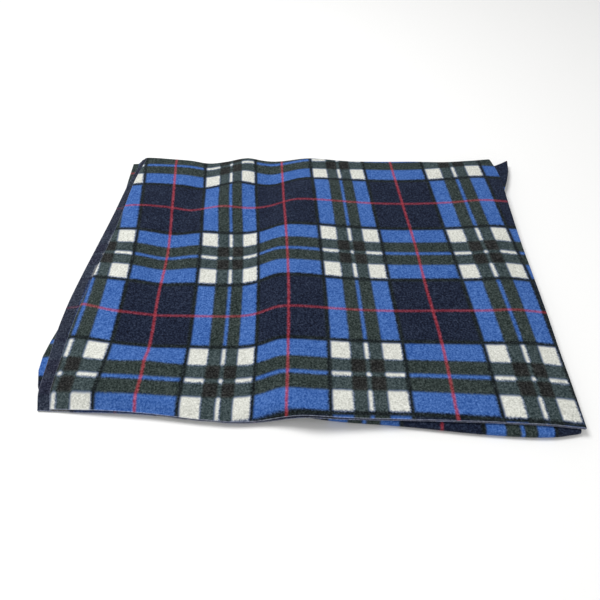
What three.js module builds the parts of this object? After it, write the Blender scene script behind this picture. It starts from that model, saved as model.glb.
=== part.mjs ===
// Folded fleece blanket lying on a flat surface. Millimetres, +Z up, front edge at -Y.
// One sheet is doubled across its width, fold at the right, and then folded in three along its length:
// the top run ends in the front hem, the bottom run lies flat, and the middle run is tucked between them.
import * as THREE from 'three';

// The cloth and its stack of six plies
const CLOTH = 1.6;
const PLY_PITCH = 2.2;
const TOP_RUN = 4.5;
const MIDDLE_RUN = 2.5;
const BOTTOM_RUN = 0.5;
const TOP_PLY = 5;
const HALF_PLY = 0.5;
const BACK_TURN = TOP_RUN - MIDDLE_RUN;
const FRONT_TURN = (MIDDLE_RUN - BOTTOM_RUN) / 2;
const FOLD_REACH = 1.5;
const TUCK_SHORT = 3;

// How far the lower half of the width stands out past the upper one at the left hems: front, middle and back
const LOWER_HALF_OUT = [14, 21, 8];
const LOWER_RUN_STEP = 13;
// The top run comes down to the surface over this distance where nothing lies under it
const DROOP_RUN = 26;
const DROOP_START = -4;
// The back fold holds the left hems up near it, and flattens the waves
const HELD_AT_FOLD = 20;
const HELD_BY_FOLD = 80;
const FLATTER_FROM = 130;
const FLATTER_RUN = 90;
const FLATTER_BY = 0.25;
// The lower runs lie askew: left at the front, and the tucked corner shows at the back right
const LOWER_RUNS_LEFT = -4;
const TUCKED_CORNER_OUT = 35;
const TUCKED_CORNER_BACK = 14;
const TUCKED_CORNER_RUN = 80;
const DEPTH = 250;
// Shares of the width that shift with the right fold, with the tucked corner and with the left hems
const RIGHT_PART = 0.35;
const CORNER_PART = 0.06;
const LEFT_PART = 0.2;
// Share of the width over which the mesh follows the main crest
const CREST_PART = 0.6;

// Front hem, back fold and lower front fold at places across the blanket
const ACROSS = [
  { x: -300, hem: -201, back: 251, lower: -176 },
  { x: -200, hem: -211, back: 245, lower: -191 },
  { x: -100, hem: -225, back: 238, lower: -208 },
  { x: -40, hem: -225, back: 233, lower: -207 },
  { x: 0, hem: -229, back: 230, lower: -222 },
  { x: 100, hem: -231, back: 230, lower: -234 },
  { x: 200, hem: -236, back: 224, lower: -247 },
  { x: 270, hem: -242, back: 225, lower: -252 },
  { x: 310, hem: -247, back: 231, lower: -248 },
];

// Right fold, upper left hem and the left edge of the lower runs at places along the depth
const ALONG = [
  { y: -250, right: 303, hem: -303, lower: -316 },
  { y: -190, right: 304, hem: -305, lower: -320 },
  { y: -140, right: 304, hem: -302, lower: -329 },
  { y: -80, right: 305, hem: -297, lower: -316 },
  { y: 0, right: 305, hem: -284, lower: -295 },
  { y: 50, right: 305, hem: -274, lower: -287 },
  { y: 120, right: 306, hem: -265, lower: -274 },
  { y: 190, right: 307, hem: -259, lower: -273 },
  { y: 250, right: 296, hem: -247, lower: -270 },
];
// Sides of the blanket that a place across it is counted between
const NOMINAL_RIGHT = 305;
const NOMINAL_LEFT = -304;

// Soft waves that run from front to back: their crest, their width each side and their rise
const WAVES = [
  { crest: [-31, -33, 20], left: [23, 46], right: [67, 110], rise: [15, 21, 17] },
  { crest: [-245, -245, -245], left: [57, 57], right: [90, 59], rise: [11, 16, 9] },
  { crest: [-115, -149, -85], left: [30, 30], right: [24, 24], rise: [0, 0, 14] },
  { crest: [-190, -190, -150], left: [20, 20], right: [20, 20], rise: [0, -2, -7] },
  { crest: [277, 277, 277], left: [100, 100], right: [57, 57], rise: [0, 2, 12] },
];

// Mesh steps across the width, closer where the waves are steep, and along each run
const WIDTH_STEPS = [
  { to: 0.18, steps: 2 },
  { to: 0.4, steps: 3 },
  { to: 0.76, steps: 14 },
  { to: 0.92, steps: 4 },
  { to: 1, steps: 4 },
];
const HEM_SHARE = 0.1;
const HEM_STEPS = 6;
const TOP_STEPS = 7;
const BOTTOM_STEPS = 6;
const MIDDLE_STEPS = 6;
const BACK_TURN_STEPS = 6;
const FRONT_TURN_STEPS = 4;
const EDGE_TURN_STEPS = 4;

const FLEECE_COLOUR = 0x3a5187;

// Middle of the blanket's outline in the tables' coordinates
const OUTLINE_MIDDLE = { x: 6.17, y: -0.17 };

const mix = (a, b, t) => a + (b - a) * t;
const limit = (t) => Math.min(1, Math.max(0, t));
const smooth = (t) => limit(t) ** 2 * (3 - 2 * limit(t));
const depthShare = (y) => limit((y + DEPTH) / (2 * DEPTH));
const turnReach = (plies) => plies * PLY_PITCH * FOLD_REACH;

// Value of one column of a table at a place between its rows, on a smooth curve
function read(table, place, key, column) {
  let row = 0;
  while (row < table.length - 2 && place > table[row + 1][key]) row += 1;
  const [p0, p1] = [table[row], table[row + 1]];
  const before = table[Math.max(0, row - 1)];
  const after = table[Math.min(table.length - 1, row + 2)];
  const span = p1[key] - p0[key];
  const t = limit((place - p0[key]) / span);
  const slope0 = (p1[column] - before[column]) / (p1[key] - before[key]);
  const slope1 = (after[column] - p0[column]) / (after[key] - p0[key]);
  const rise = p1[column] - p0[column];
  const a = slope0 * span - rise;
  const b = rise - slope1 * span;
  return mix(p0[column], p1[column], t) + t * (1 - t) * (a * (1 - t) + b * t);
}

// Value at the depth y of three values given at the front, the middle and the back
function alongDepth([front, middle, back], y) {
  const t = depthShare(y);
  return t < 0.5 ? mix(front, middle, smooth(t * 2)) : mix(middle, back, smooth(t * 2 - 1));
}

// Height that the waves add to the top ply
function waveRise(x, y) {
  const t = depthShare(y);
  const total = WAVES.reduce((sum, wave) => {
    const d = x - alongDepth(wave.crest, y);
    const width = d < 0 ? mix(...wave.left, t) : mix(...wave.right, t);
    const shape = d < 0 ? Math.exp(-((d / width) ** 2)) : 1 / (1 + (d / width) ** 2);
    return sum + alongDepth(wave.rise, y) * shape;
  }, 0);
  return total * (1 - FLATTER_BY * smooth((y - FLATTER_FROM) / FLATTER_RUN));
}

// Share of the way that the top run has come down at a point outside the lower runs
function droop(x, y) {
  const front = smooth((read(ACROSS, x, 'x', 'lower') + DROOP_START - y) / DROOP_RUN);
  const held = smooth((read(ACROSS, x, 'x', 'back') - HELD_AT_FOLD - y) / HELD_BY_FOLD);
  const left = held * smooth((read(ALONG, y, 'y', 'lower') + DROOP_START - x) / DROOP_RUN);
  return 1 - (1 - front) * (1 - left);
}

// Plan place across the blanket: share 0 is the right fold and share 1 the left hem
function acrossAt(run, share, y, half) {
  const right = read(ALONG, y, 'y', 'right');
  const hem = read(ALONG, y, 'y', 'hem');
  const crest = alongDepth(WAVES[0].crest, y) - WAVES[0].crest[1];
  const nearRight = smooth(1 - share / RIGHT_PART);
  const nearLeft = smooth(1 - (1 - share) / LEFT_PART);
  const inside = (1 - nearRight) * (1 - smooth((share - CREST_PART) / LEFT_PART));
  let x = mix(right, hem, share) + crest * inside;
  if (run === 'top') {
    x -= (half < 0 ? alongDepth(LOWER_HALF_OUT, y) : 0) * nearLeft;
  } else {
    const lower = read(ALONG, y, 'y', 'lower') - hem;
    x += (lower + (half < 0 ? LOWER_RUN_STEP : 0)) * nearLeft;
    let aside = LOWER_RUNS_LEFT * (1 - depthShare(y));
    if (run === 'middle') {
      const fromBack = read(ACROSS, x, 'x', 'back') - y;
      aside += TUCKED_CORNER_OUT * limit(1 - fromBack / TUCKED_CORNER_RUN);
    }
    x += aside * nearRight;
  }
  return x;
}

// Stations along the folded length: the run and the place on it
function stations() {
  const list = [];
  for (let i = 0; i < HEM_STEPS; i += 1) list.push({ run: 'top', t: (HEM_SHARE * i) / HEM_STEPS });
  for (let i = 0; i <= TOP_STEPS; i += 1) list.push({ run: 'top', t: mix(HEM_SHARE, 1, i / TOP_STEPS) });
  for (let i = 1; i < BACK_TURN_STEPS; i += 1) list.push({ run: 'backTurn', t: i / BACK_TURN_STEPS });
  for (let i = 0; i <= BOTTOM_STEPS; i += 1) list.push({ run: 'bottom', t: i / BOTTOM_STEPS });
  for (let i = 1; i < FRONT_TURN_STEPS; i += 1) list.push({ run: 'frontTurn', t: i / FRONT_TURN_STEPS });
  for (let i = 0; i <= MIDDLE_STEPS; i += 1) list.push({ run: 'middle', t: i / MIDDLE_STEPS });
  return list;
}

// Middle of the cloth at a station: its place, and the way that the upper half faces there
function layCloth(station, share, rise, half) {
  const { run, t } = station;
  const nominal = mix(NOMINAL_RIGHT, NOMINAL_LEFT, share);
  const hem = read(ACROSS, nominal, 'x', 'hem');
  const back = read(ACROSS, nominal, 'x', 'back') - turnReach(BACK_TURN + HALF_PLY);
  const lower = read(ACROSS, nominal, 'x', 'lower') + turnReach(FRONT_TURN + HALF_PLY);
  let y;
  let level;
  let facing = [0, 1];
  let plan = run;
  if (run === 'top') {
    y = mix(hem, back, t);
    level = TOP_RUN + rise;
  } else if (run === 'backTurn') {
    const angle = (0.5 - t) * Math.PI;
    const radius = BACK_TURN + rise;
    facing = [Math.cos(angle), Math.sin(angle)];
    y = back + turnReach(radius) * facing[0];
    level = MIDDLE_RUN + radius * facing[1];
    plan = t < 0.5 ? 'top' : 'bottom';
  } else if (run === 'bottom') {
    y = mix(back, lower, t);
    level = BOTTOM_RUN - rise;
    facing = [0, -1];
  } else if (run === 'frontTurn') {
    const angle = (t - 0.5) * Math.PI;
    const radius = FRONT_TURN + rise;
    facing = [-Math.cos(angle), Math.sin(angle)];
    y = lower + turnReach(radius) * facing[0];
    level = BOTTOM_RUN + FRONT_TURN + radius * facing[1];
    plan = 'bottom';
  } else {
    const corner = TUCKED_CORNER_BACK * limit(1 - share / CORNER_PART);
    y = mix(lower, back - TUCK_SHORT + corner, t);
    level = MIDDLE_RUN + rise;
  }
  let x = acrossAt(plan, share, y, half);
  if (run === 'backTurn') {
    x = mix(acrossAt('top', share, y, half), acrossAt('bottom', share, y, half), smooth(t));
  }
  if (plan === 'top') level = mix(level, level - (TOP_RUN - BOTTOM_RUN), droop(x, y));
  const z = CLOTH / 2 + level * PLY_PITCH + waveRise(x, y) * (level / TOP_PLY);
  return { place: new THREE.Vector3(x, y, z), facing };
}

// Closed outline of the doubled cloth: place across, height of its middle line and way to its face
function doubledOutline() {
  const shares = [0];
  for (const band of WIDTH_STEPS) {
    const from = shares[shares.length - 1];
    for (let i = 1; i <= band.steps; i += 1) shares.push(mix(from, band.to, i / band.steps));
  }
  const face = (half, side) => shares.map((share) => ({ share, rise: half / 2, out: [0, side], half }));
  const turn = (side) => {
    const points = [];
    for (let i = 1; i < EDGE_TURN_STEPS; i += 1) {
      const angle = (0.5 - i / EDGE_TURN_STEPS) * Math.PI;
      const out = [side * Math.cos(angle), side * Math.sin(angle)];
      const rise = Math.sin(angle) / 2;
      const bulge = Math.cos(angle) / 2;
      points.push({ share: 0, rise, bulge, out, half: Math.sign(angle) });
    }
    return points;
  };
  const outer = [...face(1, 1).reverse(), ...turn(1), ...face(-1, -1)];
  const inner = [...face(-1, 1).reverse(), ...turn(-1).reverse(), ...face(1, -1)];
  return [...outer, ...inner];
}

function blanketGeometry() {
  const outline = doubledOutline();
  const rows = stations();
  const points = [];
  for (const station of rows) {
    for (const { share, rise, bulge = 0, out, half } of outline) {
      const { place, facing } = layCloth(station, share, rise, half || 1);
      const side = (CLOTH / 2) * out[1];
      points.push(
        place.x + bulge * PLY_PITCH + (CLOTH / 2) * out[0] - OUTLINE_MIDDLE.x,
        place.y + side * facing[0] - OUTLINE_MIDDLE.y,
        place.z + side * facing[1],
      );
    }
  }
  const count = outline.length;
  const index = [];
  for (let row = 0; row < rows.length - 1; row += 1) {
    for (let i = 0; i < count; i += 1) {
      const [a, b] = [row * count + i, row * count + ((i + 1) % count)];
      const towardsFold = outline[i].share > outline[(i + 1) % count].share;
      if (towardsFold) index.push(a, b, a + count, b, b + count, a + count);
      else index.push(a, b, b + count, a, b + count, a + count);
    }
  }
  // The cut ends join each outer point to the inner point that faces it
  const half = count / 2;
  const last = (rows.length - 1) * count;
  for (let i = 0; i < half - 1; i += 1) {
    const [a, b, c, d] = [i, i + 1, count - 1 - i, count - 2 - i];
    index.push(a, c, b, b, c, d);
    index.push(last + a, last + b, last + c, last + b, last + d, last + c);
  }
  const geometry = new THREE.BufferGeometry();
  geometry.setAttribute('position', new THREE.Float32BufferAttribute(points, 3));
  geometry.setIndex(index);
  geometry.computeVertexNormals();
  return geometry;
}

const fleece = new THREE.MeshStandardMaterial({ color: FLEECE_COLOUR, roughness: 0.95, metalness: 0 });
const blanket = new THREE.Mesh(blanketGeometry(), fleece);
blanket.name = 'blanket';

const group = new THREE.Group();
group.add(blanket);
export default group;
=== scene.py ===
"""Folded fleece blanket: one thin sheet in its folds, with its printed check, nap and cut edges."""

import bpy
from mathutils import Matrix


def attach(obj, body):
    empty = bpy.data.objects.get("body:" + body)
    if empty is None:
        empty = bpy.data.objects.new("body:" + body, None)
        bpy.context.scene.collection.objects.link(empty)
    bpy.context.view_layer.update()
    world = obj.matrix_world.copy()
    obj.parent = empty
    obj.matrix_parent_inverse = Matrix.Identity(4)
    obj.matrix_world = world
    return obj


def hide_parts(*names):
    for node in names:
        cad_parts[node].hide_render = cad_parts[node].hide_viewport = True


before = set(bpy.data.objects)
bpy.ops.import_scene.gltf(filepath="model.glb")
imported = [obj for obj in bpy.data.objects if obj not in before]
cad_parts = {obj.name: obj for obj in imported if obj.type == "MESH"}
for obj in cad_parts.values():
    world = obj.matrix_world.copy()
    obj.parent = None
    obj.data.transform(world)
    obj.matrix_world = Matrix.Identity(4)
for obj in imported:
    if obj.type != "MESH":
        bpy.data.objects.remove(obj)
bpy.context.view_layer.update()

import bpy
import numpy as np
from mathutils import Matrix, Vector

MM = 0.001

# The cloth's thickness and the pitch of its six plies in millimetres
CLOTH = 1.55
PLY_PITCH = 2.2
# Levels of its runs and of its top ply, and the radii of its folds, in plies
TOP_RUN = 4.5
MIDDLE_RUN = 2.5
BOTTOM_RUN = 0.5
TOP_PLY = 5
HALF_PLY = 0.5
BACK_TURN = TOP_RUN - MIDDLE_RUN
FRONT_TURN = (MIDDLE_RUN - BOTTOM_RUN) / 2
# How far a fold reaches out for its radius, and how far short of the back fold the tucked run ends
FOLD_REACH = 1.5
TUCK_SHORT = 3

# How far the lower half stands out past the upper one at the left hems: front, middle and back
LOWER_HALF_OUT = (14, 21, 8)
# How far it stays in from the upper one on the lower runs
LOWER_RUN_STEP = 13
# The top run comes down to the surface where nothing lies under it, over this distance and from this far on
DROOP_RUN = 26
DROOP_START = -4
# The back fold holds the left hems up near it, and flattens the waves
HELD_AT_FOLD = 20
HELD_BY_FOLD = 80
FLATTER_FROM = 130
FLATTER_RUN = 90
FLATTER_BY = 0.25
# The lower runs lie askew: left at the front, and the tucked corner shows at the back right
LOWER_RUNS_LEFT = -4
TUCKED_CORNER_OUT = 35
TUCKED_CORNER_BACK = 14
TUCKED_CORNER_RUN = 80
# Half the depth over which values for the front, middle and back are spread
DEPTH = 250
# Shares of the width that shift with the right fold, with the tucked corner and with the left hems
RIGHT_PART = 0.35
CORNER_PART = 0.06
LEFT_PART = 0.2
# Share of the width over which the mesh follows the main crest
CREST_PART = 0.6

# Middle of the blanket's outline in the tables' coordinates
OUTLINE_MIDDLE = (6.17, -0.17)


def columns(names, *rows):
    """A table as one array for each named column."""
    return dict(zip(names.split(), np.array(rows, float).T))


# Front hem, back fold and lower front fold at places across the blanket
ACROSS = columns(
    "x hem back lower",
    (-300, -201, 251, -176),
    (-200, -211, 245, -191),
    (-100, -225, 238, -208),
    (-40, -225, 233, -207),
    (0, -229, 230, -222),
    (100, -231, 230, -234),
    (200, -236, 224, -247),
    (270, -242, 225, -252),
    (310, -247, 231, -248),
)

# Right fold, upper left hem and the left edge of the lower runs at places along the depth
ALONG = columns(
    "y right hem lower",
    (-250, 303, -303, -316),
    (-190, 304, -305, -320),
    (-140, 304, -302, -329),
    (-80, 305, -297, -316),
    (0, 305, -284, -295),
    (50, 305, -274, -287),
    (120, 306, -265, -274),
    (190, 307, -259, -273),
    (250, 296, -247, -270),
)
# Sides of the blanket that a place across it is counted between
NOMINAL_RIGHT = 305
NOMINAL_LEFT = -304

# Waves from front to back: crest and rise at front, middle and back, each side's width at front and back
WAVES = (
    dict(crest=(-31, -33, 20), left=(23, 46), right=(67, 110), rise=(15, 21, 17)),
    dict(crest=(-245, -245, -245), left=(57, 57), right=(90, 59), rise=(11, 16, 9)),
    dict(crest=(-115, -149, -85), left=(30, 30), right=(24, 24), rise=(0, 0, 14)),
    dict(crest=(-190, -190, -150), left=(20, 20), right=(20, 20), rise=(0, -2, -7)),
    dict(crest=(277, 277, 277), left=(100, 100), right=(57, 57), rise=(0, 2, 12)),
)

# Soft creases on the waves: their middle, their reach each way and their rise or fall
CREASES = columns(
    "x y reach_x reach_y rise",
    (264, -20, 27, 190, 4.5),
    (-196, -150, 24, 11, 4.5),
    (-203, 20, 26, 70, -5.5),
    (-205, -110, 40, 35, -4),
    (-150, 25, 18, 45, 3),
    (-48, 195, 20, 30, -3.5),
    (40, 205, 40, 24, -2.5),
)

# Mesh steps across the width, closer where the waves are steep, and along each run
WIDTH_STEPS = ((0.18, 10), (0.4, 16), (0.76, 56), (0.92, 16), (1, 12))
HEM_SHARE = 0.1
HEM_STEPS = 18
TOP_STEPS = 76
BACK_TURN_STEPS = 12
BOTTOM_STEPS = 20
FRONT_TURN_STEPS = 10
MIDDLE_STEPS = 20
EDGE_TURN_STEPS = 8
CUT_EDGE_STEPS = 3
# Angles in degrees at which the two cut ends round off
CUT_END_ANGLES = (15, 40, 65)

# The check's bands by distance from a red line, in repeats
BLUE_BAND = (0.2714, 0.3961)
THIN_STRIPE = 0.4855
BORDER_WIDTH = 0.027
RED_HALF_WIDTH = 0.009
PRINT_SOFTNESS = 0.012
RED_SOFTNESS = 0.0084
HALF_REPEAT = 0.5

# Places across of its red columns, of the stripes halfway between them and of two edges of blue
PRINT_COUNTS = (BLUE_BAND[0] - 1, -0.5, 0, 0.5, 1, 1.5, 2, 2 + BLUE_BAND[0], 2.5)
PRINT_ACROSS = columns(
    "y blue_right stripe_right third stripe_middle second stripe_left first blue_hem stripe_hem",
    (-225, 302, 262, 162, 65, -32, -111, -207, -260, -304),
    (-130, 300.5, 260, 162, 67, -28, -106, -198, -246, -296),
    (-40, 298.5, 255, 157, 65, -26, -104, -196, -240, -287),
    (40, 292, 249, 154, 63, -27, -105, -193, -239, -283),
    (130, 285, 242, 147, 60, -30, -109, -196, -243, -288),
    (225, 279, 236, 141, 56, -32, -112, -201, -250, -295),
)
# Places along of its two red rows, and its count of repeats at the front hem
PRINT_ALONG = columns(
    "x front back hem",
    (-290, -58, 127, -0.67),
    (-250, -74, 126, -0.67),
    (-200, -78, 125, -0.685),
    (-100, -80, 124, -0.725),
    (0, -78, 124.5, -0.757),
    (100, -78.3, 124.3, -0.767),
    (200, -78.5, 124, -0.755),
    (305, -84, 125, -0.75),
)
# How far its rows bow before the front red row, in repeats, and a repeat's length on the lower runs
BOW_FRONT = 0.022
ROW_LENGTH = 203
# How far left it lies on the bottom run and on the tucked run, front and back, less a step for each repeat
LOWER_PRINT_LEFT = (18, 35)
TUCKED_PRINT_LEFT = (18, 14)
LOWER_PRINT_STEP = 20
# Its counts along at the lower front fold and at the tucked end, and across at the lower half's hem
LOWER_FOLD_ROW = 4.1
TUCKED_END_ROW = 6.04
LOWER_HALF_HEM = -4.475


def mix(a, b, t):
    return a + (b - a) * t


def limit(t):
    return np.clip(t, 0, 1)


def smooth(t):
    t = limit(t)
    return t * t * (3 - 2 * t)


def hump(t):
    """Rises from 0 at both ends to 1 in the middle."""
    t = limit(t)
    return 4 * t * (1 - t)


def read(table, key, place, column):
    """Value of one column of a table at places between its rows, on a smooth curve."""
    keys, values = table[key], table[column]
    row = np.clip(np.searchsorted(keys, place) - 1, 0, len(keys) - 2)
    before = np.maximum(row - 1, 0)
    after = np.minimum(row + 2, len(keys) - 1)
    span = keys[row + 1] - keys[row]
    t = limit((place - keys[row]) / span)
    slope0 = (values[row + 1] - values[before]) / (keys[row + 1] - keys[before])
    slope1 = (values[after] - values[row]) / (keys[after] - keys[row])
    rise = values[row + 1] - values[row]
    a = slope0 * span - rise
    b = rise - slope1 * span
    return mix(values[row], values[row + 1], t) + t * (1 - t) * (a * (1 - t) + b * t)


def depth_share(y):
    return limit((y + DEPTH) / (2 * DEPTH))


def along_depth(values, y):
    """Value at the depth y of three values given at the front, the middle and the back."""
    front, middle, back = values
    t = depth_share(y)
    first = mix(front, middle, smooth(t * 2))
    second = mix(middle, back, smooth(t * 2 - 1))
    return np.where(t < 0.5, first, second)


def wave_rise(x, y):
    """Height that the waves and the creases add to the top ply."""
    t = depth_share(y)
    total = np.zeros_like(x)
    for wave in WAVES:
        d = x - along_depth(wave["crest"], y)
        left = np.exp(-((d / mix(*wave["left"], t)) ** 2))
        right = 1 / (1 + (d / mix(*wave["right"], t)) ** 2)
        total += along_depth(wave["rise"], y) * np.where(d < 0, left, right)
    total *= 1 - FLATTER_BY * smooth((y - FLATTER_FROM) / FLATTER_RUN)
    for middle_x, middle_y, reach_x, reach_y, rise in zip(*CREASES.values()):
        total += rise * np.exp(-(((x - middle_x) / reach_x) ** 2) - ((y - middle_y) / reach_y) ** 2)
    return total


def droop(x, y):
    """Share of the way that the top run has come down at a point outside the lower runs."""
    front = smooth((read(ACROSS, "x", x, "lower") + DROOP_START - y) / DROOP_RUN)
    held = smooth((read(ACROSS, "x", x, "back") - HELD_AT_FOLD - y) / HELD_BY_FOLD)
    left = held * smooth((read(ALONG, "y", y, "lower") + DROOP_START - x) / DROOP_RUN)
    return 1 - (1 - front) * (1 - left)


def across_at(run, share, y, half):
    """Plan place across the blanket: share 0 is the right fold and share 1 the left hem."""
    right = read(ALONG, "y", y, "right")
    hem = read(ALONG, "y", y, "hem")
    crest = WAVES[0]["crest"]
    near_right = smooth(1 - share / RIGHT_PART)
    near_left = smooth(1 - (1 - share) / LEFT_PART)
    inside = (1 - near_right) * (1 - smooth((share - CREST_PART) / LEFT_PART))
    x = mix(right, hem, share) + (along_depth(crest, y) - crest[1]) * inside
    if run == "top":
        return x - np.where(half < 0, along_depth(LOWER_HALF_OUT, y), 0) * near_left
    lower = read(ALONG, "y", y, "lower") - hem
    x = x + (lower + np.where(half < 0, LOWER_RUN_STEP, 0)) * near_left
    shift = LOWER_RUNS_LEFT * (1 - depth_share(y))
    if run == "middle":
        from_back = read(ACROSS, "x", x, "back") - y
        shift = shift + TUCKED_CORNER_OUT * limit(1 - from_back / TUCKED_CORNER_RUN)
    return x + shift * near_right


def turn_reach(plies):
    return plies * PLY_PITCH * FOLD_REACH


def lay_cloth(run, t, share, rise, half):
    """Middle of the cloth at a station: x, y, z and the way its upper half faces in y and z."""
    nominal = mix(NOMINAL_RIGHT, NOMINAL_LEFT, share)
    hem = read(ACROSS, "x", nominal, "hem")
    back = read(ACROSS, "x", nominal, "back") - turn_reach(BACK_TURN + HALF_PLY)
    lower = read(ACROSS, "x", nominal, "lower") + turn_reach(FRONT_TURN + HALF_PLY)
    facing = (0.0, 1.0)
    plan = run
    if run == "top":
        y = mix(hem, back, t)
        level = TOP_RUN + rise
    elif run == "back turn":
        angle = (0.5 - t) * np.pi
        radius = BACK_TURN + rise
        facing = (np.cos(angle), np.sin(angle))
        y = back + turn_reach(radius) * facing[0]
        level = MIDDLE_RUN + radius * facing[1]
        plan = "top" if t < 0.5 else "bottom"
    elif run == "bottom":
        y = mix(back, lower, t)
        level = BOTTOM_RUN - rise
        facing = (0.0, -1.0)
    elif run == "front turn":
        angle = (t - 0.5) * np.pi
        radius = FRONT_TURN + rise
        facing = (-np.cos(angle), np.sin(angle))
        y = lower + turn_reach(radius) * facing[0]
        level = BOTTOM_RUN + FRONT_TURN + radius * facing[1]
        plan = "bottom"
    else:
        corner = TUCKED_CORNER_BACK * limit(1 - share / CORNER_PART)
        y = mix(lower, back - TUCK_SHORT + corner, t)
        level = MIDDLE_RUN + rise
    x = across_at(plan, share, y, half)
    if run == "back turn":
        x = mix(across_at("top", share, y, half), across_at("bottom", share, y, half), smooth(t))
    if plan == "top":
        level = level - (TOP_RUN - BOTTOM_RUN) * droop(x, y)
    z = CLOTH / 2 + level * PLY_PITCH + wave_rise(x, y) * (level / TOP_PLY)
    return x, y, z, facing


def width_shares():
    """Places across the width from the right fold to the left hem."""
    shares = [0.0]
    for end, steps in WIDTH_STEPS:
        start = shares[-1]
        shares += [mix(start, end, i / steps) for i in range(1, steps + 1)]
    return shares


def doubled_outline():
    """Closed outline of the doubled cloth, one column for each fact about its points."""
    shares = width_shares()
    rows = []

    def face(half, side, wrong, order):
        rows.extend((share, half / 2, 0, 0, side, half, wrong, 0) for share in order)

    def turn(side, wrong, order):
        for i in order:
            angle = (0.5 - i / EDGE_TURN_STEPS) * np.pi
            half = 1 if angle >= 0 else -1
            out = (side * np.cos(angle), side * np.sin(angle))
            rows.append((0, np.sin(angle) / 2, np.cos(angle) / 2, *out, half, wrong, 0))

    def cut_edge(half, side):
        for i in range(1, CUT_EDGE_STEPS + 1):
            angle = (0.5 - i / (CUT_EDGE_STEPS + 1)) * np.pi
            rows.append((1, half / 2, 0, -np.cos(angle), side * np.sin(angle), half, 0.5, 1))

    inward = range(1, EDGE_TURN_STEPS)
    face(1, 1, 0, shares[::-1])
    turn(1, 0, inward)
    face(-1, -1, 0, shares)
    cut_edge(-1, -1)
    face(-1, 1, 1, shares[::-1])
    turn(-1, 1, inward[::-1])
    face(1, -1, 1, shares)
    cut_edge(1, -1)
    return columns("share rise bulge out_x out_z half wrong edge", *rows)


def stations():
    """Stations along the folded length: run, place on it, fullness of the cloth and reach past its end."""
    ends = [(np.sin(angle), np.cos(angle)) for angle in np.radians(CUT_END_ANGLES)]
    found = [("top", 0.0, full, -reach) for full, reach in ends]
    found += [("top", HEM_SHARE * i / HEM_STEPS, 1, 0) for i in range(HEM_STEPS)]
    found += [("top", mix(HEM_SHARE, 1, i / TOP_STEPS), 1, 0) for i in range(TOP_STEPS + 1)]
    found += [("back turn", i / BACK_TURN_STEPS, 1, 0) for i in range(1, BACK_TURN_STEPS)]
    found += [("bottom", i / BOTTOM_STEPS, 1, 0) for i in range(BOTTOM_STEPS + 1)]
    found += [("front turn", i / FRONT_TURN_STEPS, 1, 0) for i in range(1, FRONT_TURN_STEPS)]
    found += [("middle", i / MIDDLE_STEPS, 1, 0) for i in range(MIDDLE_STEPS + 1)]
    found += [("middle", 1.0, full, reach) for full, reach in ends[::-1]]
    return found


def print_across(run, x, y, z, outline):
    """Repeats across, counted leftwards from the third red column, at one station's points."""
    shares = np.array(width_shares())
    # The outline starts with the upper face, from the left hem to the right fold
    line = np.stack([x, y, z], 1)[len(shares) - 1 :: -1]
    length = np.concatenate([[0], np.cumsum(np.linalg.norm(np.diff(line, axis=0), axis=1))])
    lower = run not in ("top", "back turn")
    askew = TUCKED_PRINT_LEFT if run == "middle" else LOWER_PRINT_LEFT
    marks = []
    for count, name in zip(PRINT_COUNTS, list(PRINT_ACROSS)[1:]):
        place = read(PRINT_ACROSS, "y", line[:, 1], name)
        if lower:
            place = place - mix(*askew, depth_share(line[:, 1])) + LOWER_PRINT_STEP * count
        past_hem = np.maximum(line[-1, 0] - place[-1], 0)
        marks.append(np.interp(0, place - line[:, 0], length) + past_hem)
    first = (PRINT_COUNTS[1] - PRINT_COUNTS[0]) / (marks[1] - marks[0])
    last = (PRINT_COUNTS[-1] - PRINT_COUNTS[-2]) / (marks[-1] - marks[-2])
    along = np.interp(length, marks, PRINT_COUNTS)
    along = along + first * np.minimum(length - marks[0], 0) + last * np.maximum(length - marks[-1], 0)
    at_share = np.interp(outline["share"], shares, along)
    fold, hem = along[0], along[-1]
    other_half = mix(fold, LOWER_HALF_HEM, (at_share - fold) / (hem - fold))
    return np.where(outline["half"] > 0, at_share, other_half)


def print_along(x, y, hem):
    """Repeats along, counted backwards from the front red row, on the top run."""
    front = read(PRINT_ALONG, "x", x, "front")
    back = read(PRINT_ALONG, "x", x, "back")
    at_hem = read(PRINT_ALONG, "x", x, "hem")
    behind = (y - front) / (back - front)
    to_hem = (y - front) / (hem - front)
    before = at_hem * to_hem - BOW_FRONT * hump(to_hem)
    return np.where(y < front, before, behind)


def carry_rows(points, along, runs):
    """Carries the count of repeats along on from the top run, over the back fold and the lower runs."""
    top_end = max(i for i, run in enumerate(runs) if run == "top")
    lower_start = runs.index("front turn")
    steps = np.linalg.norm(np.diff(points, axis=0), axis=2).mean(1) / ROW_LENGTH
    past_top = np.concatenate([[0], np.cumsum(steps[top_end:])])
    ends = (0, past_top[lower_start - top_end], past_top[-1])
    counts = (along[top_end].mean(), LOWER_FOLD_ROW, TUCKED_END_ROW)
    lower = np.interp(past_top, ends, counts) - counts[0]
    return np.concatenate([along[:top_end], along[top_end] + lower[:, None]])


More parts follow.
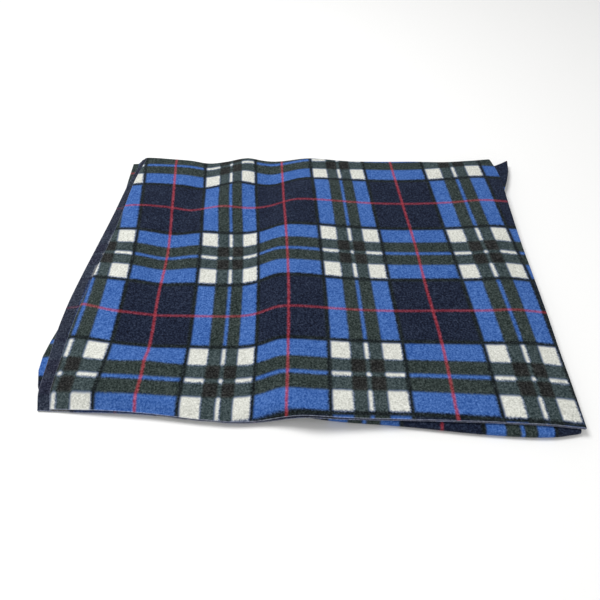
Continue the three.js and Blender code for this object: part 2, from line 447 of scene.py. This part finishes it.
def blanket_arrays():
    """Points in millimetres, print places in repeats, and each point's wrong side and cut edge shares."""
    outline = doubled_outline()
    rows = stations()
    points, prints = [], []
    for run, t, full, reach in rows:
        x, y, z, facing = lay_cloth(run, t, outline["share"], outline["rise"], outline["half"])
        across = print_across(run, x, y, z, outline)
        side = CLOTH / 2 * outline["out_z"] * full
        x = x + outline["bulge"] * PLY_PITCH + CLOTH / 2 * outline["out_x"] * full
        y = y + side * facing[0] + reach * CLOTH / 2
        z = z + side * facing[1]
        points.append(np.stack([x, y, z], 1))
        prints.append(across)
    points, prints = np.array(points), np.array(prints)
    hem = read(ACROSS, "x", mix(NOMINAL_RIGHT, NOMINAL_LEFT, outline["share"]), "hem")
    along = print_along(points[:, :, 0], points[:, :, 1], hem)
    along = carry_rows(points, along, [run for run, *_ in rows])
    edge = np.repeat(outline["edge"][None], len(rows), 0)
    fullness = np.array([full for _, _, full, _ in rows])
    edge = np.maximum(edge, (fullness < 1)[:, None])
    wrong = np.repeat(outline["wrong"][None], len(rows), 0)
    points = points - np.array([*OUTLINE_MIDDLE, 0])
    return points, np.stack([prints, along, 0 * along], 2), wrong, edge


def blanket_faces(row_count, count):
    """Quads round the outline from station to station, and the strips that close the two cut ends."""
    row, i = np.meshgrid(np.arange(row_count - 1), np.arange(count), indexing="ij")
    a = row * count + i
    b = row * count + (i + 1) % count
    quads = np.stack([a, b, b + count, a + count], -1).reshape(-1, 4)
    edge_half = CUT_EDGE_STEPS // 2 + 1
    first = np.roll(np.arange(count), edge_half - 1)
    i = np.arange(count // 2 - 1)
    ends = np.stack([first[i], first[count - 1 - i], first[count - 2 - i], first[i + 1]], -1)
    last = (row_count - 1) * count
    return np.concatenate([quads, ends, last + ends[:, ::-1]])


def mesh_object(name, points, faces):
    mesh = bpy.data.meshes.new(name)
    mesh.from_pydata((points.reshape(-1, 3) * MM).tolist(), [], faces.tolist())
    mesh.validate()
    mesh.shade_smooth()
    made = bpy.data.objects.new(name, mesh)
    bpy.context.scene.collection.objects.link(made)
    return made


def point_attribute(mesh, name, values):
    """Keeps one vector or number for each point of a mesh, for its material."""
    vector = values.ndim == 3
    made = mesh.attributes.new(name, "FLOAT_VECTOR" if vector else "FLOAT", "POINT")
    made.data.foreach_set("vector" if vector else "value", values.astype(np.float32).ravel())


def srgb(red, green, blue):
    """A colour read in display values from 0 to 255, as the linear one that the shader takes."""
    channels = np.array([red, green, blue]) / 255
    linear = np.where(channels <= 0.04045, channels / 12.92, ((channels + 0.055) / 1.055) ** 2.4)
    return (*linear, 1.0)


# Sockets of the colour mix node: its share and two colours, and its result
MIX_INPUTS = (0, 6, 7)
MIX_COLOUR = 2
# Middle of a noise's values
NOISE_MIDDLE = 0.5


class Graph:
    """A material's nodes, added one by one and joined to the ones before."""

    def __init__(self, name):
        self.material = bpy.data.materials.new(name)
        self.material.use_nodes = True
        self.tree = self.material.node_tree
        self.shader = self.tree.nodes["Principled BSDF"]

    def feed(self, socket, value):
        if isinstance(value, bpy.types.NodeSocket):
            self.tree.links.new(value, socket)
        else:
            socket.default_value = value

    def node(self, kind, **settings):
        made = self.tree.nodes.new("ShaderNode" + kind)
        for name, value in settings.items():
            setattr(made, name, value)
        return made

    def math(self, operation, *values, clamp=False):
        made = self.node("Math", operation=operation, use_clamp=clamp)
        for socket, value in zip(made.inputs, values):
            self.feed(socket, value)
        return made.outputs[0]

    def blend(self, share, first, second, blend_type="MIX"):
        made = self.node("Mix", data_type="RGBA", blend_type=blend_type)
        for index, value in zip(MIX_INPUTS, (share, first, second)):
            self.feed(made.inputs[index], value)
        return made.outputs[MIX_COLOUR]

    def gamma(self, colour, exponent):
        made = self.node("Gamma")
        self.feed(made.inputs["Color"], colour)
        self.feed(made.inputs["Gamma"], exponent)
        return made.outputs[0]

    def step(self, value, edge, softness):
        made = self.node("MapRange", interpolation_type="SMOOTHSTEP")
        for socket, number in zip(made.inputs, (value, edge - softness, edge + softness)):
            self.feed(socket, number)
        return made.outputs[0]

    def noise(self, vector, size, detail, roughness):
        made = self.node("TexNoise")
        settings = {"Vector": vector, "Scale": 1 / size, "Detail": detail, "Roughness": roughness}
        for name, value in settings.items():
            self.feed(made.inputs[name], value)
        return made.outputs["Fac"]

    def swing(self, noise, amount, base=0.0):
        """A value with a noise's swing about its middle added."""
        return self.math("MULTIPLY_ADD", self.math("SUBTRACT", noise, NOISE_MIDDLE), amount, base)

    def attribute(self, name):
        return self.node("Attribute", attribute_name=name)


# Printed colours of the check, in display values
NAVY = srgb(19, 28, 48)
BLUE = srgb(57, 95, 160)
CREAM = srgb(204, 205, 197)
GREEN_ON_NAVY = srgb(43, 53, 51)
GREEN_ON_BLUE = srgb(54, 66, 68)
GREEN_ON_GREEN = srgb(31, 32, 31)
BORDER = srgb(18, 26, 28)
RED = srgb(170, 54, 64)
INSIDE = srgb(36, 40, 60)
CUT_EDGE = srgb(158, 164, 186)
# How fully the red lines print on navy and on blue, and how far the inside and the cut edge are plain
RED_ROW = (0.4, 0.58)
RED_COLUMN = (0.54, 0.75)
INSIDE_SHARE = 0.75
CUT_EDGE_SHARE = 0.42

# The nap's noises, from its tufts to its lie in the cloth: size in metres, detail and roughness
TUFTS = (0.0022, 3.0, 0.6)
CLUMPS = (0.005, 2.0, 0.5)
LIE = (0.035, 2.0, 0.5)
# How far they blur the print, in repeats
TUFT_BLUR = 0.012
CLUMP_BLUR = 0.008
# How much lighter and darker they make the cloth, in display values from 0 to 1
TUFT_SHADE = 0.54
CLUMP_SHADE = 0.08
LIE_SHADE = 0.05
DISPLAY_GAMMA = 2.2
BLACK = srgb(0, 0, 0)
# The nap's bump: strength, depth in metres and the clumps' share of it
BUMP_STRENGTH = 0.55
BUMP_DEPTH = 0.0008
CLUMP_HEIGHT = 0.7
# The dull surface and its faint sheen
ROUGHNESS = 0.88
CLUMP_ROUGHNESS = 0.1
SURFACE = {
    "Specular IOR Level": 0.15,
    "Sheen Weight": 0.06,
    "Sheen Roughness": 0.5,
    "Sheen Tint": (0.75, 0.82, 1.0, 1.0),
}


def stripe_masks(graph, place):
    """Light, green, border and red shares of the stripes that run one way."""
    distance = graph.math("PINGPONG", place, HALF_REPEAT)

    def past(edge):
        return graph.step(distance, edge, PRINT_SOFTNESS)

    blue_start = past(BLUE_BAND[0])
    blue_end = past(BLUE_BAND[1])
    thin = past(THIN_STRIPE)
    light = graph.math("ADD", graph.math("SUBTRACT", blue_start, blue_end), thin)
    green = graph.math("SUBTRACT", blue_end, thin)
    border = graph.math("SUBTRACT", past(BLUE_BAND[0] - BORDER_WIDTH), blue_start)
    red = graph.math("SUBTRACT", 1.0, graph.step(distance, RED_HALF_WIDTH, RED_SOFTNESS))
    return light, green, border, red


def printed_colour(graph, across, along):
    """Colour of the check at a place counted in repeats across and along."""
    light_u, green_u, border_u, red_u = stripe_masks(graph, across)
    light_v, green_v, border_v, red_v = stripe_masks(graph, along)
    light = graph.math("MINIMUM", graph.math("ADD", light_u, light_v), 1.0)
    green = graph.math("ADD", green_u, green_v)
    colour = graph.blend(light, NAVY, BLUE)
    colour = graph.blend(graph.math("MULTIPLY", light_u, light_v), colour, CREAM)
    one_green = graph.blend(light, GREEN_ON_NAVY, GREEN_ON_BLUE)
    colour = graph.blend(graph.math("MINIMUM", green, 1.0), colour, one_green)
    colour = graph.blend(graph.math("SUBTRACT", green, 1.0, clamp=True), colour, GREEN_ON_GREEN)
    colour = graph.blend(graph.math("MAXIMUM", border_u, border_v), colour, BORDER)
    for red, other_light, (on_navy, on_blue) in ((red_v, light_u, RED_ROW), (red_u, light_v, RED_COLUMN)):
        share = graph.math("MULTIPLY_ADD", other_light, on_blue - on_navy, on_navy)
        colour = graph.blend(graph.math("MULTIPLY", red, share), colour, RED)
    return colour


def add_shade(graph, colour, shade):
    """Adds a shade to a colour in display values, and keeps it from going below black."""
    grey = graph.node("CombineColor")
    for socket in grey.inputs:
        graph.feed(socket, shade)
    shown = graph.blend(1.0, graph.gamma(colour, 1 / DISPLAY_GAMMA), grey.outputs[0], "ADD")
    return graph.gamma(graph.blend(1.0, shown, BLACK, "LIGHTEN"), DISPLAY_GAMMA)


def fleece_material():
    graph = Graph("fleece")
    place = graph.node("TexCoord").outputs["Object"]
    tufts = graph.noise(place, *TUFTS)
    clumps = graph.noise(place, *CLUMPS)
    lie = graph.noise(place, *LIE)

    printed = graph.node("SeparateXYZ")
    graph.feed(printed.inputs[0], graph.attribute("print").outputs["Vector"])
    drift = graph.swing(clumps, CLUMP_BLUR, graph.swing(tufts, TUFT_BLUR))
    across = graph.math("ADD", printed.outputs[0], drift)
    along = graph.math("ADD", printed.outputs[1], drift)
    colour = printed_colour(graph, across, along)

    wrong = graph.attribute("wrong").outputs["Fac"]
    edge = graph.attribute("edge").outputs["Fac"]
    colour = graph.blend(graph.math("MULTIPLY", wrong, INSIDE_SHARE), colour, INSIDE)
    colour = graph.blend(graph.math("MULTIPLY", edge, CUT_EDGE_SHARE), colour, CUT_EDGE)
    shade = graph.swing(clumps, CLUMP_SHADE, graph.swing(tufts, TUFT_SHADE))
    shade = graph.swing(lie, LIE_SHADE, shade)
    graph.feed(graph.shader.inputs["Base Color"], add_shade(graph, colour, shade))

    height = graph.math("MULTIPLY_ADD", clumps, CLUMP_HEIGHT, tufts)
    bump = graph.node("Bump")
    for name, value in (("Strength", BUMP_STRENGTH), ("Distance", BUMP_DEPTH), ("Height", height)):
        graph.feed(bump.inputs[name], value)
    graph.feed(graph.shader.inputs["Normal"], bump.outputs[0])
    roughness = graph.math("MULTIPLY_ADD", clumps, CLUMP_ROUGHNESS, ROUGHNESS)
    graph.feed(graph.shader.inputs["Roughness"], roughness)
    for name, value in SURFACE.items():
        graph.feed(graph.shader.inputs[name], value)
    return graph.material


def make_blanket():
    points, prints, wrong, edge = blanket_arrays()
    blanket = mesh_object("fleece_blanket", points, blanket_faces(*points.shape[:2]))
    point_attribute(blanket.data, "print", prints)
    point_attribute(blanket.data, "wrong", wrong)
    point_attribute(blanket.data, "edge", edge)
    blanket.data.materials.append(fleece_material())
    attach(blanket, "root")
    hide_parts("blanket")


# The pale floor: half its side and its drop in millimetres, and its surface
FLOOR_HALF = 4000
FLOOR_DROP = -0.2
FLOOR_COLOUR = srgb(247, 247, 246)
FLOOR_ROUGHNESS = 0.9


def make_floor():
    sides = ((-1, -1), (1, -1), (1, 1), (-1, 1))
    corners = np.array([(x * FLOOR_HALF, y * FLOOR_HALF, FLOOR_DROP) for x, y in sides])
    floor = mesh_object("floor", corners, np.array([[0, 1, 2, 3]]))
    graph = Graph("pale floor")
    graph.shader.inputs["Base Color"].default_value = FLOOR_COLOUR
    graph.shader.inputs["Roughness"].default_value = FLOOR_ROUGHNESS
    floor.data.materials.append(graph.material)


# Lights that face the middle of the blanket: place and size in metres, and power in watts
LIGHTS = (
    dict(name="key", place=(-0.75, 0.35, 1.8), size=0.8, power=28),
    dict(name="fill", place=(0.3, -1.2, 1.1), size=1.8, power=4.5),
)
SKY_STRENGTH = 0.5


def face_middle(thing):
    toward = -thing.location
    thing.rotation_euler = toward.to_track_quat("-Z", "Y").to_euler()


def make_lights():
    for row in LIGHTS:
        lamp = bpy.data.lights.new(row["name"], "AREA")
        lamp.size = row["size"]
        lamp.energy = row["power"]
        thing = bpy.data.objects.new(row["name"], lamp)
        thing.location = row["place"]
        face_middle(thing)
        bpy.context.scene.collection.objects.link(thing)
    world = bpy.data.worlds.new("studio")
    world.use_nodes = True
    sky = world.node_tree.nodes["Background"]
    sky.inputs["Color"].default_value = (1.0, 1.0, 1.0, 1.0)
    sky.inputs["Strength"].default_value = SKY_STRENGTH
    bpy.context.scene.world = world
    bpy.context.scene.view_settings.view_transform = "Standard"


# The camera: place in millimetres, angles in radians, and the lens
CAMERA_PLACE = (-35.57, -552.53, 621.7)
CAMERA_DOWN = 0.8827
CAMERA_TURN = 0.0364
CAMERA_ROLL = 0.0075
SENSOR = 36.0
LENS = 36.0


def make_camera():
    data = bpy.data.cameras.new("camera")
    data.sensor_width = SENSOR
    data.lens = LENS
    camera = bpy.data.objects.new("camera", data)
    down, turn = CAMERA_DOWN, CAMERA_TURN
    forward = Vector((np.sin(turn) * np.cos(down), np.cos(turn) * np.cos(down), -np.sin(down)))
    level = Vector((np.cos(turn), -np.sin(turn), 0))
    upward = level.cross(forward)
    right = level * np.cos(CAMERA_ROLL) + upward * np.sin(CAMERA_ROLL)
    up = upward * np.cos(CAMERA_ROLL) - level * np.sin(CAMERA_ROLL)
    turned = Matrix((right, up, -forward)).transposed().to_4x4()
    camera.matrix_world = Matrix.Translation(Vector(CAMERA_PLACE) * MM) @ turned
    bpy.context.scene.collection.objects.link(camera)
    bpy.context.scene.camera = camera


make_camera()
make_blanket()
make_floor()
make_lights()
